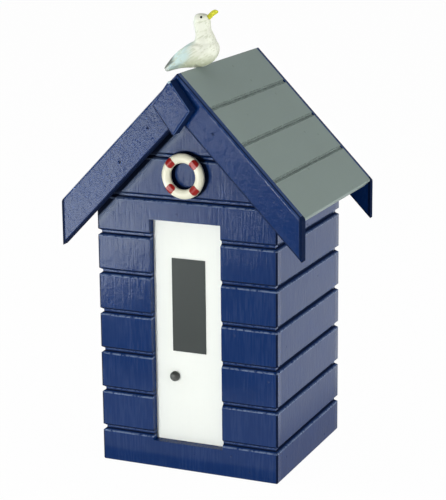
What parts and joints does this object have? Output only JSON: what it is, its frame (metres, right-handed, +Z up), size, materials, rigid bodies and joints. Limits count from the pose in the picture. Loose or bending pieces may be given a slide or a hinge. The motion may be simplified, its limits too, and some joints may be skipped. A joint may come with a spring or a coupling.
{
  "type": "beach hut ornament",
  "caption": "Small painted wooden beach hut with grooved walls, a fixed door, a steep gabled roof with bargeboards, a lifebuoy and a gull on the ridge.",
  "frame": {"origin": "middle of the body's flat base, on the surface that it stands on", "axes": "+Z up, the doorway's wall faces -Y, +X is to the right as seen from the front"},
  "size_m": [0.1054, 0.0906, 0.1913],
  "materials": {
    "navy_paint": "gloss paint over grained wood",
    "roof_paint": "satin grey paint over wood",
    "door_paint": "satin white paint over wood",
    "window_panel": "smooth dark grey panel",
    "knob_metal": "dark painted metal",
    "ring_white": "glossy off-white",
    "band_red": "glossy red paint",
    "gull_resin": "painted cast resin, white with pale blue wings",
    "beak_paint": "yellow paint on cast resin",
    "eye_paint": "gloss black"
  },
  "bodies": {
    "root": {"front_wall": "navy_paint", "back_wall": "navy_paint", "left_wall": "navy_paint", "right_wall": "navy_paint", "base_board": "navy_paint", "door_panel": "door_paint", "door_window": "window_panel", "door_knob": "knob_metal", "roof_left": "roof_paint", "roof_right": "roof_paint", "barge_front_left": "navy_paint", "barge_front_right": "navy_paint", "barge_back_left": "navy_paint", "barge_back_right": "navy_paint", "apex_block": "navy_paint", "lifebuoy_mount": "navy_paint", "lifebuoy_ring": "ring_white", "lifebuoy_band_1": "band_red", "lifebuoy_band_2": "band_red", "lifebuoy_band_3": "band_red", "lifebuoy_band_4": "band_red", "gull_body": "gull_resin", "gull_beak": "beak_paint", "gull_eye_left": "eye_paint", "gull_eye_right": "eye_paint"}
  },
  "joints": []
}
